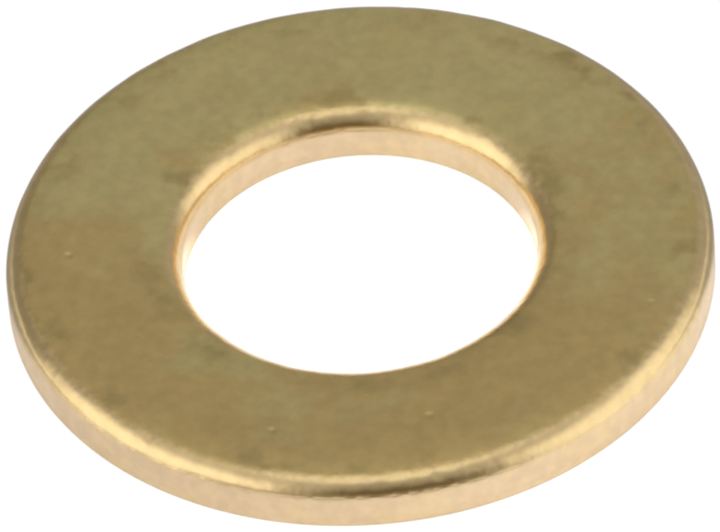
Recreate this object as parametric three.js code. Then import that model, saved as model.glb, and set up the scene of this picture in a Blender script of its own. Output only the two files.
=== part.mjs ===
// Flat washer: one ring blanked and pierced from brass sheet, lying on its burr side.
//
// Units are millimetres, with +Z up. The origin is the centre of the underside, on the
// bore's axis, so the washer spans Z = 0 to Z = THICKNESS.
//
// A press tool pushes the sheet down through a die. The upper edges are drawn down with
// the cut and come out as round shoulders, while the lower edges come out nearly sharp,
// and tumbling only breaks them.

import * as THREE from "three";

// ---- Driving dimensions, in millimetres ----

const OUTSIDE_DIAMETER = 20.62; // narrow series for a 3/8 in bolt, 0.812 in
const BORE_DIAMETER = 10.31; // clearance hole for a 3/8 in bolt, 0.406 in
const THICKNESS = 1.65; // 0.065 in sheet

const OUTER_SHOULDER_RADIUS = 0.72; // upper edge of the rim, rolled over by blanking
const BORE_SHOULDER_RADIUS = 0.72; // upper edge of the bore, drawn in by piercing
const OUTER_BREAK_RADIUS = 0.08; // lower edge of the rim, after tumbling
const BORE_BREAK_RADIUS = 0.08; // lower edge of the bore, after tumbling

// ---- Facets ----

const RING_SIDES = 96; // a multiple of 4, so that corners lie on the X and Y axes
const SHOULDER_STEPS = 6;
const BREAK_STEPS = 2;

// ---- Material ----

const BRASS = { name: "brass", color: 0xb59a63, roughness: 0.32, metalness: 1.0 };

/** Points of a quarter circle in the (radius, height) plane, from one angle to another. */
function quarterArc(centre, radius, startDegrees, steps) {
  const points = [];
  for (let step = 0; step <= steps; step += 1) {
    const angle = THREE.MathUtils.degToRad(startDegrees + (90 * step) / steps);
    const reach = new THREE.Vector2(Math.cos(angle), Math.sin(angle)).multiplyScalar(radius);
    points.push(reach.add(centre));
  }
  return points;
}

/**
 * The ring's section, closed on itself. It runs up the rim wall, inwards over the top face,
 * down the bore wall and outwards under the bottom face, so the faces point outwards.
 */
function ringSection() {
  const rim = OUTSIDE_DIAMETER / 2;
  const bore = BORE_DIAMETER / 2;

  const outerBreak = new THREE.Vector2(rim - OUTER_BREAK_RADIUS, OUTER_BREAK_RADIUS);
  const outerShoulder = new THREE.Vector2(rim - OUTER_SHOULDER_RADIUS, THICKNESS - OUTER_SHOULDER_RADIUS);
  const boreShoulder = new THREE.Vector2(bore + BORE_SHOULDER_RADIUS, THICKNESS - BORE_SHOULDER_RADIUS);
  const boreBreak = new THREE.Vector2(bore + BORE_BREAK_RADIUS, BORE_BREAK_RADIUS);

  const section = [
    ...quarterArc(outerBreak, OUTER_BREAK_RADIUS, -90, BREAK_STEPS),
    ...quarterArc(outerShoulder, OUTER_SHOULDER_RADIUS, 0, SHOULDER_STEPS),
    ...quarterArc(boreShoulder, BORE_SHOULDER_RADIUS, 90, SHOULDER_STEPS),
    ...quarterArc(boreBreak, BORE_BREAK_RADIUS, 180, BREAK_STEPS),
  ];
  section.push(section[0].clone());
  return section;
}

/** The ring itself: its section turned once round the bore's axis, which is then stood along Z. */
function makeWasher() {
  const ring = new THREE.LatheGeometry(ringSection(), RING_SIDES);
  ring.rotateX(Math.PI / 2);
  const washer = new THREE.Mesh(ring, new THREE.MeshStandardMaterial(BRASS));
  washer.name = "washer";
  return washer;
}

const flatWasher = new THREE.Group();
flatWasher.name = "flat_washer";
flatWasher.add(makeWasher());

export default flatWasher;
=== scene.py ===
"""A flat brass washer on a pale studio floor.

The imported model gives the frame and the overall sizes. The washer is grown round its bore by
Geometry Nodes: the section of the stamped sheet is drawn with its rolled and broken corners,
swept round a circle, and then aged with the sag, waves and nicks of a piece that was pressed
and tumbled. The tree and the materials work in millimetres, and the piece ends in metres.
"""

import logging
import math
from dataclasses import dataclass, field
from enum import Enum
from typing import NamedTuple

import bpy
from mathutils import Matrix, Vector


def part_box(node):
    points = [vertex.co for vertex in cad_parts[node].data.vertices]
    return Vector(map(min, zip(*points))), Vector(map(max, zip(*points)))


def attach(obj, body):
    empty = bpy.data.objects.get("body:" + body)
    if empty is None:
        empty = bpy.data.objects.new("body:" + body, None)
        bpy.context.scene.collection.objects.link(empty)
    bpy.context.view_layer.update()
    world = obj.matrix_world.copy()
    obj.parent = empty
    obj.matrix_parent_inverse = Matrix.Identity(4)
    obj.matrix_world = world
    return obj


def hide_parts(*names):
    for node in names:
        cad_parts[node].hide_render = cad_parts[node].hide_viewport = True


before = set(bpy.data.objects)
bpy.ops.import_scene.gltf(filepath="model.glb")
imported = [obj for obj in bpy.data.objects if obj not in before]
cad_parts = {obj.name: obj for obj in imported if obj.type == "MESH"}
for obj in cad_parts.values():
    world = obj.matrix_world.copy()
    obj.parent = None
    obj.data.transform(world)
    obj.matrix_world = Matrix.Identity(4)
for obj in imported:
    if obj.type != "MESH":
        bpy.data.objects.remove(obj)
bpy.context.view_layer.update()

LOG = logging.getLogger("flat_washer")
MM = 0.001
FRONT = (-0.105, -0.995, 0.0)
BACK = (0.0, 1.0, 0.0)
WHITE = (1.0, 1.0, 1.0, 1.0)

# A Mix node's sockets have the same names for numbers and for colours, so they go by place.
MIX_SHARE = 0
MIX_NUMBERS = (2, 3)
MIX_COLOURS = (6, 7)
MIX_NUMBER_RESULT = 0
MIX_COLOUR_RESULT = 2

# How soft noise is spread: its middle, the level that it seldom rises above, and how far that
# level comes down for each share of the surface that is to stand above it.
NOISE_MIDDLE = 0.5
NOISE_TOP = 0.72
NOISE_FALL = 0.9

Socket = bpy.types.NodeSocket
Sockets = bpy.types.bpy_prop_collection
Feed = Socket | float | int | bool | str | tuple[float, ...]
Colour = tuple[float, float, float]
Triple = tuple[float, float, float]
Span = tuple[float, float]


class Noise(NamedTuple):
    """Soft noise: its lumps to a millimetre, its finer layers, and the seed that moves it."""

    scale: float
    detail: float
    seed: float = 0.0


class Step(NamedTuple):
    """A smooth step from low to high, while the value goes from start to end."""

    start: float
    end: float
    low: float = 0.0
    high: float = 1.0


class Pits(NamedTuple):
    """Round pits: places to a millimetre, radius as a share of their gap, share filled, seed."""

    scale: float
    reach: float
    share: float
    seed: float = 0.0


class Scratches(NamedTuple):
    """Hairlines of one direction: its turn in degrees, their length in millimetres, their seed."""

    turn: float
    length: float
    seed: float


class Zone(Enum):
    """The named masks that the ring carries, each from 0 to 1 at every vertex."""

    SHOULDER = "rolled_shoulder"
    WALL = "sheared_wall"
    FRACTURE = "torn_band"
    EDGE = "near_edge"


Masks = dict[Zone, Socket]


class Bench:
    """Adds nodes to one tree and wires each as it is added."""

    hairline_edge: float = 0.06
    pit_shift: Triple = (3.7, 5.3, 1.9)

    def __init__(self, tree: bpy.types.NodeTree) -> None:
        """Starts on a tree, which may already hold nodes.

        Args:
            tree: The node tree to build in.
        """
        self.tree = tree

    def feed(self, socket: Socket, value: Feed) -> None:
        """Links or sets one input.

        Args:
            socket: The input.
            value: An output to link to it, or the plain value it keeps.
        """
        if isinstance(value, bpy.types.NodeSocket):
            self.tree.links.new(value, socket)
        else:
            socket.default_value = value

    def add(
        self, kind: str, feeds: dict[str | int, Feed] | None = None, **settings: object
    ) -> bpy.types.Node:
        """Adds one node.

        Args:
            kind: The node's type name.
            feeds: What goes into its inputs, by name or by place.
            settings: The node's own options.

        Returns:
            The new node.
        """
        node = self.tree.nodes.new(kind)
        for name, value in settings.items():
            setattr(node, name, value)
        for key, value in (feeds or {}).items():
            self.feed(node.inputs[key], value)
        return node

    def math(self, operation: str, *values: Feed, clamp: bool = False) -> Socket:
        """One sum, with its terms in order, held between 0 and 1 if clamp is set."""
        feeds = dict(enumerate(values))
        node = self.add("ShaderNodeMath", feeds, operation=operation, use_clamp=clamp)
        return node.outputs["Value"]

    def product(self, first: Feed, *others: Feed) -> Socket:
        """Multiplies all the values together.

        Args:
            first: The first value.
            others: The rest of them.

        Returns:
            Their product.
        """
        result = first
        for other in others:
            result = self.math("MULTIPLY", result, other)
        return result

    def vector_math(self, operation: str, *values: Feed) -> Sockets:
        """The outputs of one sum on vectors, with its terms in order."""
        feeds = dict(enumerate(values))
        return self.add("ShaderNodeVectorMath", feeds, operation=operation).outputs

    def scaled(self, vector: Feed, scale: Feed) -> Socket:
        """A vector times a number."""
        feeds = {"Vector": vector, "Scale": scale}
        return self.add("ShaderNodeVectorMath", feeds, operation="SCALE").outputs["Vector"]

    def times(self, vector: Feed, factors: Feed) -> Socket:
        """A vector times a factor of its own along each axis."""
        return self.vector_math("MULTIPLY", vector, factors)["Vector"]

    def moved(self, vector: Feed, step: Feed) -> Socket:
        """A vector plus another."""
        return self.vector_math("ADD", vector, step)["Vector"]

    def heading(self, vector: Feed) -> Socket:
        """A vector made one long."""
        return self.vector_math("NORMALIZE", vector)["Vector"]

    def dot(self, vector: Feed, other: Feed) -> Socket:
        """The dot product of two vectors."""
        return self.vector_math("DOT_PRODUCT", vector, other)["Value"]

    def length(self, vector: Feed) -> Socket:
        """How long a vector is."""
        return self.vector_math("LENGTH", vector)["Value"]

    def distance(self, first: Feed, second: Feed) -> Socket:
        """How far two points are apart."""
        return self.vector_math("DISTANCE", first, second)["Value"]

    def split(self, vector: Feed) -> Sockets:
        """A vector's X, Y and Z."""
        return self.add("ShaderNodeSeparateXYZ", {"Vector": vector}).outputs

    def upright(self, height: Feed) -> Socket:
        """A vector that points straight up, or down if the height is negative."""
        return self.add("ShaderNodeCombineXYZ", {"Z": height}).outputs["Vector"]

    def between(self, share: Feed, first: Feed, second: Feed) -> Socket:
        """A number between two others, by a share from 0 to 1."""
        feeds = {MIX_SHARE: share, **dict(zip(MIX_NUMBERS, (first, second)))}
        return self.add("ShaderNodeMix", feeds).outputs[MIX_NUMBER_RESULT]

    def blend(self, share: Feed, first: Feed, second: Feed) -> Socket:
        """A colour between two others.

        Args:
            share: 0 for the first, 1 for the second.
            first: A colour.
            second: Another colour.

        Returns:
            The mixed colour.
        """
        node = self.add("ShaderNodeMix", {"Factor": share}, data_type="RGBA")
        for place, colour in zip(MIX_COLOURS, (first, second)):
            value = (*colour, 1.0) if isinstance(colour, tuple) else colour
            self.feed(node.inputs[place], value)
        return node.outputs[MIX_COLOUR_RESULT]

    def stretched(self, vector: Feed, turn: float, scale: Triple) -> Socket:
        """A pattern's coordinates, turned about Z and then scaled along each axis.

        Args:
            vector: The coordinates.
            turn: The turn about Z, in degrees.
            scale: The scale along X, Y and Z after the turn.

        Returns:
            The new coordinates.
        """
        feeds = {"Vector": vector, "Angle": math.radians(turn)}
        rotate = self.add("ShaderNodeVectorRotate", feeds)
        rotate.rotation_type = "Z_AXIS"
        return self.times(rotate.outputs["Vector"], scale)

    def ramp(
        self, value: Feed, start: Feed, end: Feed, low: Feed = 0.0, high: Feed = 1.0
    ) -> Socket:
        """A smooth step.

        Args:
            value: What is measured.
            start: The value at which the step begins, which may be the larger.
            end: The value at which it is complete.
            low: The result before the step.
            high: The result after it.

        Returns:
            A number from low to high.
        """
        feeds = {"Value": value, "From Min": start, "From Max": end, "To Min": low, "To Max": high}
        node = self.add("ShaderNodeMapRange", feeds, interpolation_type="SMOOTHSTEP")
        return node.outputs["Result"]

    def noise(self, vector: Feed, scale: float, detail: float, seed: Feed = 0.0) -> Socket:
        """Soft noise from 0 to 1.

        Args:
            vector: The coordinates, in millimetres.
            scale: How many lumps there are to a millimetre.
            detail: How many finer layers are added.
            seed: Moves the whole pattern.

        Returns:
            The noise.
        """
        feeds = {"Vector": vector, "W": seed, "Scale": scale, "Detail": detail}
        return self.add("ShaderNodeTexNoise", feeds, noise_dimensions="4D").outputs["Fac"]

    def swing(self, noise: Feed) -> Socket:
        """Soft noise moved to lie evenly about 0."""
        return self.math("SUBTRACT", noise, NOISE_MIDDLE)

    def pits(
        self, vector: Feed, scale: float, reach: float, share: float, seed: Feed = 0.0
    ) -> Socket:
        """Round pits scattered at random.

        Args:
            vector: The coordinates, in millimetres.
            scale: How many places for a pit there are to a millimetre.
            reach: A pit's radius, as a share of the gap between places.
            share: The share of the places that hold a pit.
            seed: Moves the whole pattern.

        Returns:
            1 at the middle of a pit, falling to 0 at its rim and between pits.
        """
        place = self.moved(vector, self.scaled(self.pit_shift, seed))
        cells = self.add("ShaderNodeTexVoronoi", {"Vector": place, "Scale": scale}).outputs
        bowl = self.ramp(cells["Distance"], reach, 0.0)
        chosen = self.math("LESS_THAN", self.split(cells["Color"])["X"], share)
        return self.product(bowl, chosen)

    def streaks(
        self, vector: Feed, turn: float, length: float, width: float, share: float, seed: float
    ) -> Socket:
        """Straight hairlines that all run one way.

        Args:
            vector: The coordinates, in millimetres.
            turn: Their direction about Z, in degrees.
            length: How long they are, in millimetres.
            width: How wide they are, in millimetres.
            share: Roughly the share of the surface that they take up.
            seed: Moves the whole pattern.

        Returns:
            1 in a hairline, 0 between them.
        """
        along = self.stretched(vector, -turn, (1.0 / length, 0.5 / width, 1.0))
        level = NOISE_TOP - NOISE_FALL * share
        return self.ramp(self.noise(along, 1.0, 1.0, seed), level, level + self.hairline_edge)


@dataclass(frozen=True)
class BrassFinish:
    """Rolled brass sheet, pressed and then tumbled.

    The flat faces keep a thin tarnish that drifts from olive to brown. The rolled shoulders are
    burnished brighter, and the sheared walls are clean metal with fine upright drag lines, their
    colour made paler and bluer than the metal's own as a painted glare of the white floor.
    Lengths, heights and depths are in millimetres.
    """

    olive: Colour = (0.765, 0.632, 0.275)
    brown: Colour = (0.735, 0.530, 0.215)
    stain: Colour = (0.560, 0.420, 0.170)
    burnished: Colour = (0.875, 0.650, 0.325)
    # Clean sheared brass made paler and bluer: part of this colour is a painted glare of the white
    # floor.
    sheared_with_glare: Colour = (0.865, 0.645, 0.400)

    # Tarnish in blotches, browner towards the front and round the place where it was handled.
    blotches: Noise = Noise(0.26, 3.0, 4.0)
    drift: float = 0.019
    drift_along: Triple = (-0.15, -0.99, 0.0)
    handled_at: Triple = (5.0, -6.5, 1.6)
    handling: Step = Step(5.5, 1.0, 0.0, 0.12)
    blotch_edges: Noise = Noise(1.5, 2.0, 6.0)
    blotch_raggedness: float = 0.30
    browning: Step = Step(0.53, 0.80)

    # Darker stains near the edges, and small round spots anywhere.
    stains: Noise = Noise(0.8, 3.0, 8.0)
    stain_edges: Step = Step(0.50, 0.66)
    stain_strength: float = 0.90
    spots: Pits = Pits(0.55, 0.10, 0.35, 3.0)
    spot_strength: float = 0.5

    # Where the tarnish is rubbed off: on the shoulders, in scratches and at bright specks.
    rubbing: Noise = Noise(1.7, 2.0, 12.0)
    rub_raggedness: float = 0.7
    rubbed: Step = Step(0.45, 1.05)
    specks: Pits = Pits(0.9, 0.07, 0.22, 9.0)
    scratch_shine: float = 0.2

    # Warmer patches on the walls, a fine mottle everywhere and a slightly duller rim.
    warm_patches: Noise = Noise(0.35, 2.0, 18.0)
    warmth: Step = Step(0.45, 0.65, 0.0, 0.35)
    mottling: Noise = Noise(2.6, 3.0, 14.0)
    mottle: Step = Step(0.30, 0.70, 0.94, 1.05)
    rim_dulling: float = 0.965
    rim_from: Step = Step(7.0, 9.0)

    # Roughness, which clouds over a little on the faces and rises on the lip of the bore.
    face_roughness: float = 0.27
    shoulder_roughness: float = 0.22
    wall_roughness: float = 0.32
    torn_roughness: float = 0.42
    clouds: Noise = Noise(0.8, 3.0, 9.0)
    clouding: Step = Step(0.3, 0.7, -0.04, 0.04)
    lip_roughening: float = 0.22
    lip_gain: float = 4.0
    lip_from: Step = Step(7.5, 6.5)
    scratch_roughening: float = 0.06

    # Scratches from tumbling, which lie in patches.
    scratches: tuple[Scratches, ...] = (
        Scratches(62.0, 1.6, 11.0),
        Scratches(-38.0, 1.2, 17.0),
        Scratches(12.0, 1.4, 23.0),
    )
    scratch_width: float = 0.060
    scratch_share: float = 0.04
    scratch_patches: Noise = Noise(0.30, 1.0)
    patch_edges: Step = Step(0.42, 0.62)
    scratch_depth: float = 0.0003

    # Relief on the faces: a soft peel, the grain of the rolled sheet, and pits.
    peel: Noise = Noise(2.4, 1.0, 2.0)
    peel_height: float = 0.0020
    grain: Noise = Noise(1.0, 1.0, 5.0)
    grain_turn: float = 20.0
    grain_stretch: Triple = (0.25, 5.0, 1.0)
    grain_height: float = 0.0009
    pitting: Pits = Pits(0.6, 0.12, 0.60, 5.0)
    pit_depth: float = 0.025

    # Relief on the walls: upright drag lines, and torn metal near the underside.
    drag: Noise = Noise(4.5, 3.0, 7.0)
    drag_stretch: Triple = (1.0, 1.0, 0.10)
    drag_height: float = 0.006
    tearing: Noise = Noise(7.0, 3.0, 10.0)
    tear_height: float = 0.006

    # Beads of pressed metal along the start of each shoulder.
    beads: Noise = Noise(2.8, 1.0, 16.0)
    bead_height: float = 0.036
    bead_start: Step = Step(0.0, 0.3)
    bead_end: Step = Step(0.5, 1.0, 1.0, 0.3)

    def make(self) -> bpy.types.Material:
        """Builds the material.

        Returns:
            The finished material.
        """
        material = bpy.data.materials.new("tumbled_brass")
        material.use_nodes = True
        bench = Bench(material.node_tree)
        shader = material.node_tree.nodes["Principled BSDF"]
        shader.inputs["Metallic"].default_value = 1.0
        place = bench.add("ShaderNodeTexCoord").outputs["Object"]
        place = bench.scaled(place, 1.0 / MM)
        masks = {zone: self.mask(bench, zone) for zone in Zone}
        hairlines = self.hairlines(bench, place, masks)
        bench.feed(shader.inputs["Base Color"], self.colour(bench, place, masks, hairlines))
        bench.feed(shader.inputs["Roughness"], self.roughness(bench, place, masks, hairlines))
        bench.feed(shader.inputs["Normal"], self.relief(bench, place, masks, hairlines))
        return material

    def mask(self, bench: Bench, zone: Zone) -> Socket:
        """The mask of one zone, as the ring carries it."""
        return bench.add("ShaderNodeAttribute", attribute_name=zone.value).outputs["Fac"]

    def hairlines(self, bench: Bench, place: Socket, masks: Masks) -> Socket:
        """Scratches from tumbling: a few directions, in patches, and none on the walls.

        Args:
            bench: Where the nodes are added.
            place: The coordinates, in millimetres.
            masks: The zones' masks.

        Returns:
            1 in a scratch, 0 between scratches.
        """
        flat = bench.times(place, (1.0, 1.0, 0.0))
        scale, detail, _ = self.scratch_patches
        lines: Feed = 0.0
        for turn, length, seed in self.scratches:
            one = bench.streaks(
                flat, turn, length, self.scratch_width, self.scratch_share, seed
            )
            patch = bench.noise(place, scale, detail, seed + 1.0)
            one = bench.product(one, bench.ramp(patch, *self.patch_edges))
            lines = bench.math("MAXIMUM", lines, one)
        return bench.product(lines, bench.math("SUBTRACT", 1.0, masks[Zone.WALL]))

    def tarnish(self, bench: Bench, place: Socket, masks: Masks) -> Socket:
        """The colour of a face that was never rubbed: blotches, stains and spots.

        Args:
            bench: Where the nodes are added.
            place: The coordinates, in millimetres.
            masks: The zones' masks.

        Returns:
            The colour.
        """
        drift = bench.product(bench.dot(place, self.drift_along), self.drift)
        coarse = bench.math("ADD", bench.noise(place, *self.blotches), drift)
        handled = bench.ramp(bench.distance(place, self.handled_at), *self.handling)
        coarse = bench.math("ADD", coarse, handled)
        fine = bench.noise(place, *self.blotch_edges)
        ragged = bench.math("MULTIPLY_ADD", fine, self.blotch_raggedness, coarse)
        colour = bench.blend(bench.ramp(ragged, *self.browning), self.olive, self.brown)
        stains = bench.ramp(bench.noise(place, *self.stains), *self.stain_edges)
        stains = bench.product(masks[Zone.EDGE], stains, self.stain_strength)
        spots = bench.product(bench.pits(place, *self.spots), self.spot_strength)
        return bench.blend(bench.math("MAXIMUM", stains, spots), colour, self.stain)

    def colour(self, bench: Bench, place: Socket, masks: Masks, hairlines: Socket) -> Socket:
        """Tarnish in soft blotches on the faces, and clean metal elsewhere, with painted glare on
        the walls.

        Args:
            bench: Where the nodes are added.
            place: The coordinates, in millimetres.
            masks: The zones' masks.
            hairlines: The scratches.

        Returns:
            The colour.
        """
        worn = bench.noise(place, *self.rubbing)
        worn = bench.math("MULTIPLY_ADD", worn, self.rub_raggedness, masks[Zone.SHOULDER])
        specks = bench.pits(place, *self.specks)
        scuffs = bench.math("MAXIMUM", bench.product(hairlines, self.scratch_shine), specks)
        bare = bench.math("MAXIMUM", bench.ramp(worn, *self.rubbed), scuffs)
        metal = bench.blend(bare, self.tarnish(bench, place, masks), self.burnished)
        warm = bench.ramp(bench.noise(place, *self.warm_patches), *self.warmth)
        # The walls' colour carries a painted floor glare as well as the metal's own warm patches.
        wall = bench.blend(warm, self.sheared_with_glare, self.burnished)
        metal = bench.blend(masks[Zone.WALL], metal, wall)
        mottle = bench.ramp(bench.noise(place, *self.mottling), *self.mottle)
        by_rim = bench.ramp(bench.length(place), *self.rim_from)
        dulled = bench.product(masks[Zone.SHOULDER], by_rim)
        mottle = bench.product(mottle, bench.between(dulled, 1.0, self.rim_dulling))
        return bench.scaled(metal, mottle)

    def roughness(self, bench: Bench, place: Socket, masks: Masks, hairlines: Socket) -> Socket:
        """Satin faces, brighter shoulders and duller walls.

        Args:
            bench: Where the nodes are added.
            place: The coordinates, in millimetres.
            masks: The zones' masks.
            hairlines: The scratches.

        Returns:
            The roughness.
        """
        cloudy = bench.ramp(bench.noise(place, *self.clouds), *self.clouding)
        on_face = bench.math("ADD", cloudy, self.face_roughness)
        on_shoulder = bench.between(masks[Zone.SHOULDER], on_face, self.shoulder_roughness)
        wall = bench.between(masks[Zone.FRACTURE], self.wall_roughness, self.torn_roughness)
        rough = bench.between(masks[Zone.WALL], on_shoulder, wall)
        by_bore = bench.ramp(bench.length(place), *self.lip_from)
        lip = bench.product(masks[Zone.SHOULDER], masks[Zone.WALL], by_bore, self.lip_gain)
        rough = bench.math("MULTIPLY_ADD", lip, self.lip_roughening, rough)
        return bench.math("MULTIPLY_ADD", hairlines, self.scratch_roughening, rough)

    def relief(self, bench: Bench, place: Socket, masks: Masks, hairlines: Socket) -> Socket:
        """The finest relief, too small for the mesh, as heights in millimetres.

        Args:
            bench: Where the nodes are added.
            place: The coordinates, in millimetres.
            masks: The zones' masks.
            hairlines: The scratches.

        Returns:
            The bumped normal.
        """
        peel = bench.product(bench.noise(place, *self.peel), self.peel_height)
        rolled = bench.stretched(place, self.grain_turn, self.grain_stretch)
        grain = bench.product(bench.noise(rolled, *self.grain), self.grain_height)
        pitting = bench.product(bench.pits(place, *self.pitting), -self.pit_depth)
        on_face = bench.math("ADD", bench.math("ADD", peel, grain), pitting)
        dragged = bench.noise(bench.times(place, self.drag_stretch), *self.drag)
        torn = bench.noise(place, *self.tearing)
        torn = bench.product(torn, masks[Zone.FRACTURE], self.tear_height)
        on_wall = bench.math("MULTIPLY_ADD", dragged, self.drag_height, torn)
        height = bench.between(masks[Zone.WALL], on_face, on_wall)
        begun, ended = (
            bench.ramp(masks[Zone.SHOULDER], *step) for step in (self.bead_start, self.bead_end)
        )
        beads = bench.swing(bench.noise(place, *self.beads))
        beads = bench.product(beads, bench.product(begun, ended), self.bead_height)
        height = bench.math("ADD", height, beads)
        height = bench.math("MULTIPLY_ADD", hairlines, -self.scratch_depth, height)
        feeds = {"Height": height, "Strength": 1.0, "Distance": MM}
        return bench.add("ShaderNodeBump", feeds).outputs["Normal"]


@dataclass(frozen=True)
class FloorFinish:
    """A plain, pale floor that glows softly, as a light table does.

    Seen straight it's evenly white. What the metal mirrors of it changes from place to place:
    it's a little darker in front and inside the bore, much darker behind and far in front, and
    brighter at the sides. Distances are in millimetres from the bore's axis.
    """

    colour: Colour = (0.20, 0.20, 0.20)
    roughness: float = 0.6
    glow: float = 0.95
    front_glow: Step = Step(-9.0, 4.5, 0.63, 0.85)
    back_glow: float = 0.20
    back_from: Span = (6.5, 10.5)
    back_slant: float = 0.8
    bore_glow: Step = Step(3.0, 4.4, 0.81, 1.50)
    bore_slant: float = -0.5
    bore_edge: Span = (6.0, 8.0)
    far_glow: float = 0.12
    far_side_glow: float = 1.00
    far_from: Span = (11.5, 32.0)
    off_front: Span = (0.92, 0.45)
    off_back: Span = (0.75, 0.25)

    def make(self) -> bpy.types.Material:
        """Builds the material.

        Returns:
            The finished material.
        """
        material = bpy.data.materials.new("pale_floor")
        material.use_nodes = True
        bench = Bench(material.node_tree)
        shader = material.node_tree.nodes["Principled BSDF"]
        shader.inputs["Base Color"].default_value = (*self.colour, 1.0)
        shader.inputs["Roughness"].default_value = self.roughness
        shader.inputs["Emission Color"].default_value = WHITE
        straight = bench.add("ShaderNodeLightPath").outputs["Is Camera Ray"]
        glow = bench.between(straight, self.mirrored(bench), self.glow)
        bench.feed(shader.inputs["Emission Strength"], glow)
        return material

    def mirrored(self, bench: Bench) -> Socket:
        """The glow that the metal mirrors, from near the washer to far away from it.

        Args:
            bench: Where the nodes are added.

        Returns:
            The strength of the glow.
        """
        place = bench.scaled(bench.add("ShaderNodeTexCoord").outputs["Object"], 1.0 / MM)
        parts = bench.split(place)
        across, along = (bench.math("ABSOLUTE", parts[axis]) for axis in ("X", "Y"))
        front = bench.ramp(parts["X"], *self.front_glow)
        behind = bench.math("MULTIPLY_ADD", across, self.back_slant, parts["Y"])
        near = bench.ramp(behind, *self.back_from, front, self.back_glow)
        aside = bench.math("MULTIPLY_ADD", along, self.bore_slant, across)
        in_bore = bench.ramp(aside, *self.bore_glow)
        away = bench.length(place)
        near = bench.between(bench.ramp(away, *self.bore_edge), in_bore, near)
        level = bench.heading(place)
        not_front = bench.ramp(bench.dot(level, FRONT), *self.off_front)
        not_back = bench.ramp(bench.dot(level, BACK), *self.off_back)
        at_side = bench.product(not_front, not_back)
        far = bench.between(at_side, self.far_glow, self.far_side_glow)
        return bench.between(bench.ramp(away, *self.far_from), near, far)


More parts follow.
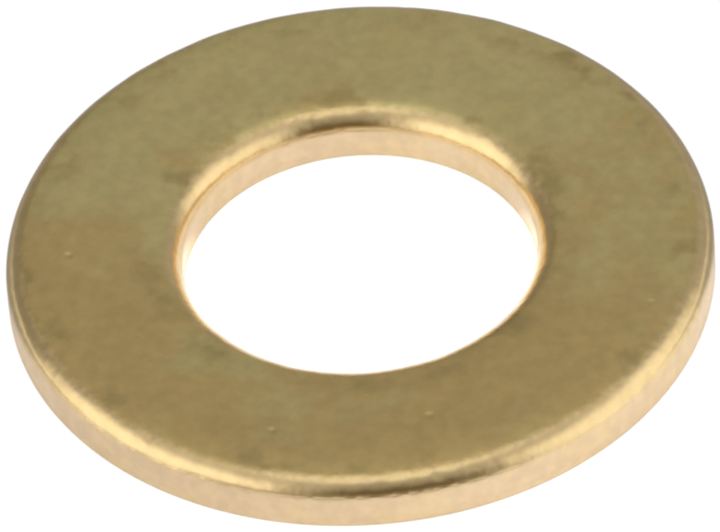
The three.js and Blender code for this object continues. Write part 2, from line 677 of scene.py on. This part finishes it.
@dataclass
class Ring:
    """The washer itself: one ring blanked and pierced from sheet.

    Sizes are in millimetres. The outside, the bore and the thickness come from the frame.
    """

    outside_radius: float
    bore_radius: float
    thickness: float
    rim_shoulder: float = 0.59
    bore_shoulder: float = 0.69
    break_radius: float = 0.08

    # How finely the section and the sweep are cut; the underside needs fewer cuts.
    longest_step: float = 0.105
    hidden_step: float = 0.50
    hidden_below: float = 0.9
    shoulder_steps: int = 16
    break_steps: int = 4
    sides: int = 800

    # Age: the sag of the face towards its edges, waves, nicks and the torn band's taper.
    seed: float = 3.0
    sag: float = 0.16
    sag_reach: float = 1.80
    sag_power: float = 2.8
    sag_from: Span = (0.15, 0.55)
    face_wave: float = 0.006
    face_noise: Noise = Noise(0.35, 2.0)
    shoulder_wave: float = 0.050
    wave_noise: Noise = Noise(0.6, 2.0, 7.0)
    shoulder_ripple: float = 0.014
    ripple_noise: Noise = Noise(1.8, 2.0, 9.0)
    nick_depth: float = 0.028
    nicks: Pits = Pits(1.1, 0.30, 0.30)
    wall_taper: float = 0.020

    # Where the zones begin and end, by the normal's Z or as shares of the size they follow.
    wall_tilt: Span = (0.42, 0.25)
    shoulder_from: Span = (1.15, 0.35)
    torn_below: Span = (0.16, 0.08)
    torn_noise: Noise = Noise(1.2, 3.0)
    torn_raggedness: float = 0.25
    edge_core: float = 0.4

    @classmethod
    def from_frame(cls) -> "Ring":
        """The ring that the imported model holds.

        Returns:
            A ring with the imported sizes.
        """
        low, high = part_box("washer")
        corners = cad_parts["washer"].data.vertices
        bore = min(math.hypot(corner.co.x, corner.co.y) for corner in corners)
        return cls(
            outside_radius=(high.x - low.x) / 2 / MM,
            bore_radius=bore / MM,
            thickness=(high.z - low.z) / MM,
        )

    def sizes(self) -> dict[str, float]:
        """The tree's inputs, by the names they have there."""
        return {
            "Outside Radius": self.outside_radius,
            "Bore Radius": self.bore_radius,
            "Thickness": self.thickness,
            "Rim Shoulder": self.rim_shoulder,
            "Bore Shoulder": self.bore_shoulder,
            "Break Radius": self.break_radius,
            "Longest Step": self.longest_step,
            "Hidden Step": self.hidden_step,
            "Seed": self.seed,
            "Sag": self.sag,
            "Sag Reach": self.sag_reach,
            "Sag Power": self.sag_power,
            "Face Wave": self.face_wave,
            "Shoulder Wave": self.shoulder_wave,
            "Shoulder Ripple": self.shoulder_ripple,
            "Nick Depth": self.nick_depth,
            "Wall Taper": self.wall_taper,
        }

    def build(self, material: bpy.types.Material) -> bpy.types.Object:
        """Grows the ring and turns it into a plain mesh.

        Args:
            material: The ring's finish.

        Returns:
            The finished piece, at the origin, in metres.
        """
        tree = bpy.data.node_groups.new("pressed_ring", "GeometryNodeTree")
        tree.interface.new_socket("Geometry", in_out="OUTPUT", socket_type="NodeSocketGeometry")
        kinds = {name: "NodeSocketFloat" for name in self.sizes()}
        kinds["Finish"] = "NodeSocketMaterial"
        places = {}
        for name, kind in kinds.items():
            socket = tree.interface.new_socket(name, in_out="INPUT", socket_type=kind)
            places[name] = socket.identifier
        self.grow(tree)

        seed_object = bpy.data.objects.new("washer_seed", bpy.data.meshes.new("washer_seed"))
        bpy.context.scene.collection.objects.link(seed_object)
        modifier = seed_object.modifiers.new("pressed_ring", "NODES")
        modifier.node_group = tree
        for name, value in {**self.sizes(), "Finish": material}.items():
            modifier[places[name]] = value
        grown = seed_object.evaluated_get(bpy.context.evaluated_depsgraph_get())
        mesh = bpy.data.meshes.new_from_object(grown)
        mesh.name = "brass_washer"
        bpy.data.objects.remove(seed_object)
        piece = bpy.data.objects.new("brass_washer", mesh)
        bpy.context.scene.collection.objects.link(piece)
        return piece

    def grow(self, tree: bpy.types.NodeTree) -> None:
        """Draws the section, sweeps it, marks its zones and ages it.

        Args:
            tree: The empty tree, with its inputs already named.
        """
        bench = Bench(tree)
        sizes = bench.add("NodeGroupInput").outputs
        section = self.section(bench, sizes)
        ring = self.sweep(bench, sizes, section)
        ring = self.mark(bench, sizes, ring)
        ring = self.age(bench, sizes, ring)
        feeds = {"Geometry": ring, "Scale": (MM, MM, MM)}
        ring = bench.add("GeometryNodeTransform", feeds).outputs["Geometry"]
        ring = bench.add("GeometryNodeSetShadeSmooth", {"Geometry": ring}).outputs["Geometry"]
        ring = bench.add("GeometryNodeRealizeInstances", {"Geometry": ring}).outputs["Geometry"]
        feeds = {"Geometry": ring, "Material": sizes["Finish"]}
        ring = bench.add("GeometryNodeSetMaterial", feeds).outputs["Geometry"]
        bench.add("NodeGroupOutput", {"Geometry": ring})

    def position(self, bench: Bench) -> Socket:
        """Where a point is."""
        return bench.add("GeometryNodeInputPosition").outputs["Position"]

    def normal(self, bench: Bench) -> Socket:
        """Which way the surface faces."""
        return bench.add("GeometryNodeInputNormal").outputs["Normal"]

    def inset(self, bench: Bench, sizes: Sockets) -> Socket:
        """How far a point is in from the nearer of the rim and the bore, seen from above.

        Args:
            bench: Where the nodes are added.
            sizes: The tree's inputs.

        Returns:
            The distance.
        """
        parts = bench.split(self.position(bench))
        squares = (bench.product(parts[axis], parts[axis]) for axis in ("X", "Y"))
        reach = bench.math("SQRT", bench.math("ADD", *squares))
        to_rim = bench.math("SUBTRACT", sizes["Outside Radius"], reach)
        to_bore = bench.math("SUBTRACT", reach, sizes["Bore Radius"])
        return bench.math("MINIMUM", to_rim, to_bore)

    def noise(self, bench: Bench, sizes: Sockets, pattern: Noise) -> Socket:
        """Soft noise over the ring, with its seed counted from the tree's own."""
        seed = bench.math("ADD", sizes["Seed"], pattern.seed)
        return bench.noise(self.position(bench), pattern.scale, pattern.detail, seed)

    def section(self, bench: Bench, sizes: Sockets) -> Socket:
        """The sheet's cut section: a rectangle with two rolled and two broken corners.

        It is drawn with X outwards and Y downwards, as the sweep takes it.

        Args:
            bench: Where the nodes are added.
            sizes: The tree's inputs.

        Returns:
            The section's closed curve, with its middle at the origin.
        """
        width = bench.math("SUBTRACT", sizes["Outside Radius"], sizes["Bore Radius"])
        feeds = {"Width": width, "Height": sizes["Thickness"]}
        outline = bench.add("GeometryNodeCurvePrimitiveQuadrilateral", feeds).outputs["Curve"]
        position = self.position(bench)
        corner = bench.split(position)
        upper = bench.math("LESS_THAN", corner["Y"], 0.0)
        inner = bench.math("LESS_THAN", corner["X"], 0.0)
        shoulder = bench.between(inner, sizes["Rim Shoulder"], sizes["Bore Shoulder"])
        radius = bench.between(upper, sizes["Break Radius"], shoulder)
        steps = bench.between(upper, float(self.break_steps), float(self.shoulder_steps))
        feeds = {"Curve": outline, "Count": steps, "Radius": radius}
        rounded = bench.add("GeometryNodeFilletCurve", feeds, mode="POLY").outputs["Curve"]
        ahead = bench.add("GeometryNodeOffsetPointInCurve", {"Offset": 1}).outputs["Point Index"]
        far_end = bench.add("GeometryNodeFieldAtIndex", data_type="FLOAT_VECTOR")
        bench.feed(far_end.inputs["Value"], position)
        bench.feed(far_end.inputs["Index"], ahead)
        far_end = far_end.outputs["Value"]
        both = bench.split(bench.moved(position, far_end))["Y"]
        lowest = bench.product(sizes["Thickness"], self.hidden_below)
        hidden = bench.math("GREATER_THAN", both, lowest)
        step = bench.between(hidden, sizes["Longest Step"], sizes["Hidden Step"])
        cuts = bench.math("DIVIDE", bench.distance(position, far_end), step)
        feeds = {"Curve": rounded, "Cuts": bench.math("FLOOR", cuts)}
        return bench.add("GeometryNodeSubdivideCurve", feeds).outputs["Curve"]

    def sweep(self, bench: Bench, sizes: Sockets, section: Socket) -> Socket:
        """Sweeps the section once round the bore's axis.

        Args:
            bench: Where the nodes are added.
            sizes: The tree's inputs.
            section: The section's curve.

        Returns:
            A closed ring that lies on Z = 0.
        """
        across = bench.math("ADD", sizes["Outside Radius"], sizes["Bore Radius"])
        feeds = {"Resolution": self.sides, "Radius": bench.product(across, 0.5)}
        path = bench.add("GeometryNodeCurvePrimitiveCircle", feeds).outputs["Curve"]
        path = bench.add("GeometryNodeSetCurveNormal", {"Curve": path}, mode="Z_UP")
        feeds = {"Curve": path.outputs["Curve"], "Profile Curve": section}
        ring = bench.add("GeometryNodeCurveToMesh", feeds).outputs["Mesh"]
        lift = bench.upright(bench.product(sizes["Thickness"], 0.5))
        feeds = {"Geometry": ring, "Translation": lift}
        return bench.add("GeometryNodeTransform", feeds).outputs["Geometry"]

    def mark(self, bench: Bench, sizes: Sockets, ring: Socket) -> Socket:
        """Stores the masks of the zones on the ring.

        Args:
            bench: Where the nodes are added.
            sizes: The tree's inputs.
            ring: The ring.

        Returns:
            The ring with its masks.
        """
        tilt = bench.split(self.normal(bench))["Z"]
        wall = bench.ramp(bench.math("ABSOLUTE", tilt), *self.wall_tilt)
        reach = (bench.product(sizes["Rim Shoulder"], share) for share in self.shoulder_from)
        shoulder = bench.ramp(self.inset(bench, sizes), *reach)
        shoulder = bench.product(shoulder, bench.ramp(tilt, *reversed(self.wall_tilt)))
        height = bench.split(self.position(bench))["Z"]
        height = bench.math("DIVIDE", height, sizes["Thickness"])
        ragged = self.noise(bench, sizes, self.torn_noise)
        height = bench.math("MULTIPLY_ADD", ragged, -self.torn_raggedness, height)
        torn = bench.product(bench.ramp(height, *self.torn_below), wall)
        core = bench.product(sizes["Sag Reach"], self.edge_core)
        edge = bench.ramp(self.inset(bench, sizes), sizes["Sag Reach"], core)
        values = {Zone.WALL: wall, Zone.SHOULDER: shoulder, Zone.FRACTURE: torn, Zone.EDGE: edge}
        for zone, value in values.items():
            feeds = {"Geometry": ring, "Name": zone.value, "Value": value}
            ring = bench.add("GeometryNodeStoreNamedAttribute", feeds).outputs["Geometry"]
        return ring

    def mask(self, bench: Bench, zone: Zone) -> Socket:
        """One of the masks that the ring already carries."""
        named = bench.add("GeometryNodeInputNamedAttribute", {"Name": zone.value})
        return named.outputs["Attribute"]

    def dip(self, bench: Bench, sizes: Sockets) -> Socket:
        """How the upper face sinks: a sag towards both its edges, and slow waves.

        Args:
            bench: Where the nodes are added.
            sizes: The tree's inputs.

        Returns:
            The move, straight down.
        """
        height = bench.split(self.position(bench))["Z"]
        upper = bench.ramp(bench.math("DIVIDE", height, sizes["Thickness"]), *self.sag_from)
        run_in = bench.math("SUBTRACT", sizes["Sag Reach"], self.inset(bench, sizes))
        run_in = bench.math("DIVIDE", run_in, sizes["Sag Reach"], clamp=True)
        sag = bench.product(bench.math("POWER", run_in, sizes["Sag Power"]), sizes["Sag"])
        wave = bench.product(self.noise(bench, sizes, self.face_noise), sizes["Face Wave"])
        drop = bench.product(bench.math("ADD", sag, wave), upper)
        return bench.upright(bench.product(drop, -1.0))

    def wear(self, bench: Bench, sizes: Sockets) -> Socket:
        """How the edges wear: waves, ripples and nicks in the shoulders, and torn walls.

        Args:
            bench: Where the nodes are added.
            sizes: The tree's inputs.

        Returns:
            The move, along the surface's own normal.
        """
        normal = self.normal(bench)
        shoulder, fracture = (self.mask(bench, zone) for zone in (Zone.SHOULDER, Zone.FRACTURE))
        waves = bench.swing(self.noise(bench, sizes, self.wave_noise))
        ripples = bench.swing(self.noise(bench, sizes, self.ripple_noise))
        worn = bench.product(waves, sizes["Shoulder Wave"])
        worn = bench.math("MULTIPLY_ADD", ripples, sizes["Shoulder Ripple"], worn)
        worn = bench.product(worn, shoulder)
        scale, reach, share, _ = self.nicks
        nicks = bench.pits(self.position(bench), scale, reach, share, sizes["Seed"])
        nicks = bench.product(nicks, shoulder)
        worn = bench.math("MULTIPLY_ADD", nicks, sizes["Nick Depth"], worn)
        worn = bench.math("MULTIPLY_ADD", fracture, sizes["Wall Taper"], worn)
        return bench.scaled(normal, bench.product(worn, -1.0))

    def age(self, bench: Bench, sizes: Sockets, ring: Socket) -> Socket:
        """Moves the surface as pressing, tumbling and handling do.

        Args:
            bench: Where the nodes are added.
            sizes: The tree's inputs.
            ring: The ring with its masks.

        Returns:
            The aged ring.
        """
        move = bench.moved(self.dip(bench, sizes), self.wear(bench, sizes))
        feeds = {"Geometry": ring, "Offset": move}
        return bench.add("GeometryNodeSetPosition", feeds).outputs["Geometry"]


@dataclass(frozen=True)
class Screen:
    """A part of the room, standing on the floor round the washer, that is lighter or darker.

    Angles are in degrees. Azimuth 0 is on +X and 90 on +Y. It's whole within the inner half
    width and below the lower height, and it has faded out at the outer half width and at the
    upper height.
    """

    azimuth: float
    inner: float
    outer: float
    lower: float
    upper: float
    colour: Colour

    def hang(self, bench: Bench, towards: Socket, level: Socket, room: Feed) -> Socket:
        """Paints the screen over the room.

        Args:
            bench: Where the nodes are added.
            towards: The direction that is looked in.
            level: The same direction without its height, made one long.
            room: The room's colour so far.

        Returns:
            The room's colour with the screen in it.
        """
        azimuth = math.radians(self.azimuth)
        aside = bench.dot(level, (math.cos(azimuth), math.sin(azimuth), 0.0))
        faded, whole = (math.cos(math.radians(angle)) for angle in (self.outer, self.inner))
        width = bench.ramp(aside, faded, whole)
        faded, whole = (math.sin(math.radians(angle)) for angle in (self.upper, self.lower))
        height = bench.ramp(bench.split(towards)["Z"], faded, whole)
        return bench.blend(bench.product(width, height), room, self.colour)


@dataclass
class Studio:
    """The floor, the lights and the room round the washer.

    Spans of angles are in degrees of height. The others are the dot product with a direction.
    """

    floor_radius: float = 3.0
    wall_grey: float = 0.405
    ceiling_grey: float = 0.70
    ceiling_from: Span = (42.0, 76.0)
    skylight: float = 0.99
    window_at: Triple = (0.03, -0.225, 0.974)
    window_edge: Span = (0.915, 0.992)
    skirting: Colour = (0.30, 0.26, 0.20)
    skirting_below: Span = (7.0, 2.5)
    skirting_front: Span = (0.45, 0.92)
    screens: tuple[Screen, ...] = (
        Screen(345.0, 15.0, 50.0, 22.0, 76.0, (1.17, 1.17, 1.17)),
        Screen(202.0, 21.0, 50.0, 24.0, 79.0, (1.36, 1.36, 1.36)),
        Screen(277.0, 12.0, 34.0, 14.0, 50.0, (0.120, 0.092, 0.050)),
        Screen(128.0, 14.0, 42.0, 22.0, 52.0, (0.27, 0.26, 0.24)),
    )
    softness: float = 2.6
    finish: FloorFinish = field(default_factory=FloorFinish)

    def lay_floor(self) -> bpy.types.Object:
        """Makes the floor, which isn't part of the washer.

        Returns:
            The floor.
        """
        reach = self.floor_radius
        sides = ((-reach, -reach), (reach, -reach), (reach, reach), (-reach, reach))
        mesh = bpy.data.meshes.new("floor")
        mesh.from_pydata([(x, y, 0.0) for x, y in sides], [], [(0, 1, 2, 3)])
        mesh.materials.append(self.finish.make())
        floor = bpy.data.objects.new("floor", mesh)
        bpy.context.scene.collection.objects.link(floor)
        return floor

    def fill_room(self) -> None:
        """Lights the room: grey round the floor, brighter overhead, with its screens."""
        world = bpy.data.worlds.new("room")
        world.use_nodes = True
        bpy.context.scene.world = world
        bench = Bench(world.node_tree)
        towards = bench.add("ShaderNodeTexCoord").outputs["Generated"]
        level = bench.heading(bench.times(towards, (1.0, 1.0, 0.0)))
        height = bench.math("ARCSINE", bench.split(towards)["Z"])
        overhead = bench.ramp(height, *map(math.radians, self.ceiling_from))
        room: Feed = bench.blend(overhead, (self.wall_grey,) * 3, (self.ceiling_grey,) * 3)
        for screen in self.screens:
            room = screen.hang(bench, towards, level, room)
        window = bench.ramp(bench.dot(towards, self.window_at), *self.window_edge)
        room = bench.blend(window, room, (self.skylight,) * 3)
        low = bench.ramp(height, *map(math.radians, self.skirting_below))
        in_front = bench.ramp(bench.dot(level, FRONT), *self.skirting_front)
        room = bench.blend(bench.product(low, in_front), room, self.skirting)
        bench.feed(world.node_tree.nodes["Background"].inputs["Color"], room)

    def build(self) -> None:
        """Sets up the whole studio."""
        self.lay_floor()
        self.fill_room()
        bpy.context.scene.view_settings.view_transform = "Standard"
        bpy.context.scene.cycles.filter_width = self.softness


@dataclass
class Viewpoint:
    """Where the washer is looked at from. Angles are in degrees and lengths in millimetres."""

    elevation: float = 43.62
    roll: float = -4.51
    distance: float = 500.0
    lens: float = 859.0
    aim_right: float = -0.05
    aim_up: float = 0.35
    nearest: float = 10.0
    farthest: float = 20000.0

    def build(self) -> bpy.types.Object:
        """Makes the scene's camera.

        Returns:
            The camera.
        """
        tilt, roll = math.radians(self.elevation), math.radians(self.roll)
        back = Vector((0.0, -math.cos(tilt), math.sin(tilt)))
        level_up = Vector((0.0, math.sin(tilt), math.cos(tilt)))
        level_right = Vector((1.0, 0.0, 0.0))
        right = level_right * math.cos(roll) + level_up * math.sin(roll)
        up = level_up * math.cos(roll) - level_right * math.sin(roll)
        aim = right * self.aim_right + up * self.aim_up
        data = bpy.data.cameras.new("viewpoint")
        data.lens = self.lens
        data.clip_start, data.clip_end = self.nearest * MM, self.farthest * MM
        camera = bpy.data.objects.new("viewpoint", data)
        turn = Matrix((right, up, back)).transposed().to_4x4()
        camera.matrix_world = Matrix.Translation((aim + back * self.distance) * MM) @ turn
        bpy.context.scene.collection.objects.link(camera)
        bpy.context.scene.camera = camera
        return camera


def main() -> None:
    """Builds the view, the studio and the washer."""
    logging.basicConfig(level=logging.INFO, format="%(message)s")
    Viewpoint().build()
    Studio().build()
    ring = Ring.from_frame()
    washer = ring.build(BrassFinish().make())
    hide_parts("washer")
    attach(washer, "root")
    LOG.info("piece %s: %d faces", washer.name, len(washer.data.polygons))


if __name__ == "__main__":
    main()
